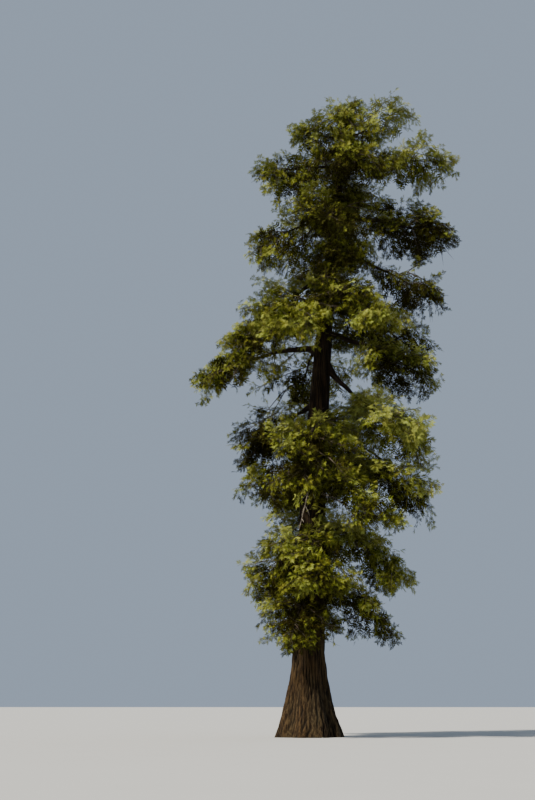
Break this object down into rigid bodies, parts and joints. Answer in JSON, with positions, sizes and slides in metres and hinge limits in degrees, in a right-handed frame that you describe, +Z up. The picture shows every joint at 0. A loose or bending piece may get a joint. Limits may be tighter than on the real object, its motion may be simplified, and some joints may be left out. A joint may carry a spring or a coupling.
{
  "type": "coast redwood tree",
  "caption": "Mature coast redwood: a fluted, flared, gently leaning trunk with drooping boughs and a tall broad-topped crown of separate hanging foliage masses.",
  "frame": {"origin": "middle of the trunk's flat cut at ground level", "axes": "+Z straight up, +X to the right in the picture, which is the way the trunk leans, +Y away from the camera, so -Y is the side that the picture shows"},
  "size_m": [13.3392, 10.9663, 32.0102],
  "materials": {
    "bark": "deeply furrowed fibrous red-brown bark, weathered grey on its ridges",
    "bough_bark": "thin rough grey-brown bark",
    "foliage": "matt olive green needle sprays, yellow-green where they catch the light"
  },
  "bodies": {
    "root": {"trunk": "bark", "bough_apron_back": "bough_bark", "bough_apron_front": "bough_bark", "bough_apron_right": "bough_bark", "bough_lower_front": "bough_bark", "bough_lower_left": "bough_bark", "bough_lower_right": "bough_bark", "bough_middle_left": "bough_bark", "bough_middle_right": "bough_bark", "bough_shoulder_right": "bough_bark", "bough_upper_back_right": "bough_bark", "bough_upper_left": "bough_bark", "bough_upper_right": "bough_bark", "bough_waist_back": "bough_bark", "bough_waist_left": "bough_bark", "bough_waist_left_high": "bough_bark", "bough_waist_right": "bough_bark", "bough_waist_right_high": "bough_bark", "dead_limb_left": "bough_bark", "dead_limb_right": "bough_bark", "foliage_apron_back": "foliage", "foliage_apron_front": "foliage", "foliage_apron_left": "foliage", "foliage_apron_right": "foliage", "foliage_crest_back": "foliage", "foliage_crest_front": "foliage", "foliage_crest_left": "foliage", "foliage_crest_right": "foliage", "foliage_hem_back": "foliage", "foliage_hem_front": "foliage", "foliage_hem_right": "foliage", "foliage_leader": "foliage", "foliage_lower_back": "foliage", "foliage_lower_front": "foliage", "foliage_lower_left": "foliage", "foliage_lower_right": "foliage", "foliage_middle_back": "foliage", "foliage_middle_front_left": "foliage", "foliage_middle_front_right": "foliage", "foliage_middle_left": "foliage", "foliage_middle_right": "foliage", "foliage_shoulder_back": "foliage", "foliage_shoulder_front": "foliage", "foliage_shoulder_left": "foliage", "foliage_shoulder_right": "foliage", "foliage_skirt_back": "foliage", "foliage_skirt_front": "foliage", "foliage_skirt_left": "foliage", "foliage_skirt_right": "foliage", "foliage_upper_back": "foliage", "foliage_upper_back_right": "foliage", "foliage_upper_front": "foliage", "foliage_upper_front_low": "foliage", "foliage_upper_left": "foliage", "foliage_upper_right": "foliage", "foliage_waist_back": "foliage", "foliage_waist_left": "foliage", "foliage_waist_left_high": "foliage", "foliage_waist_right": "foliage", "foliage_waist_right_high": "foliage"}
  },
  "joints": []
}
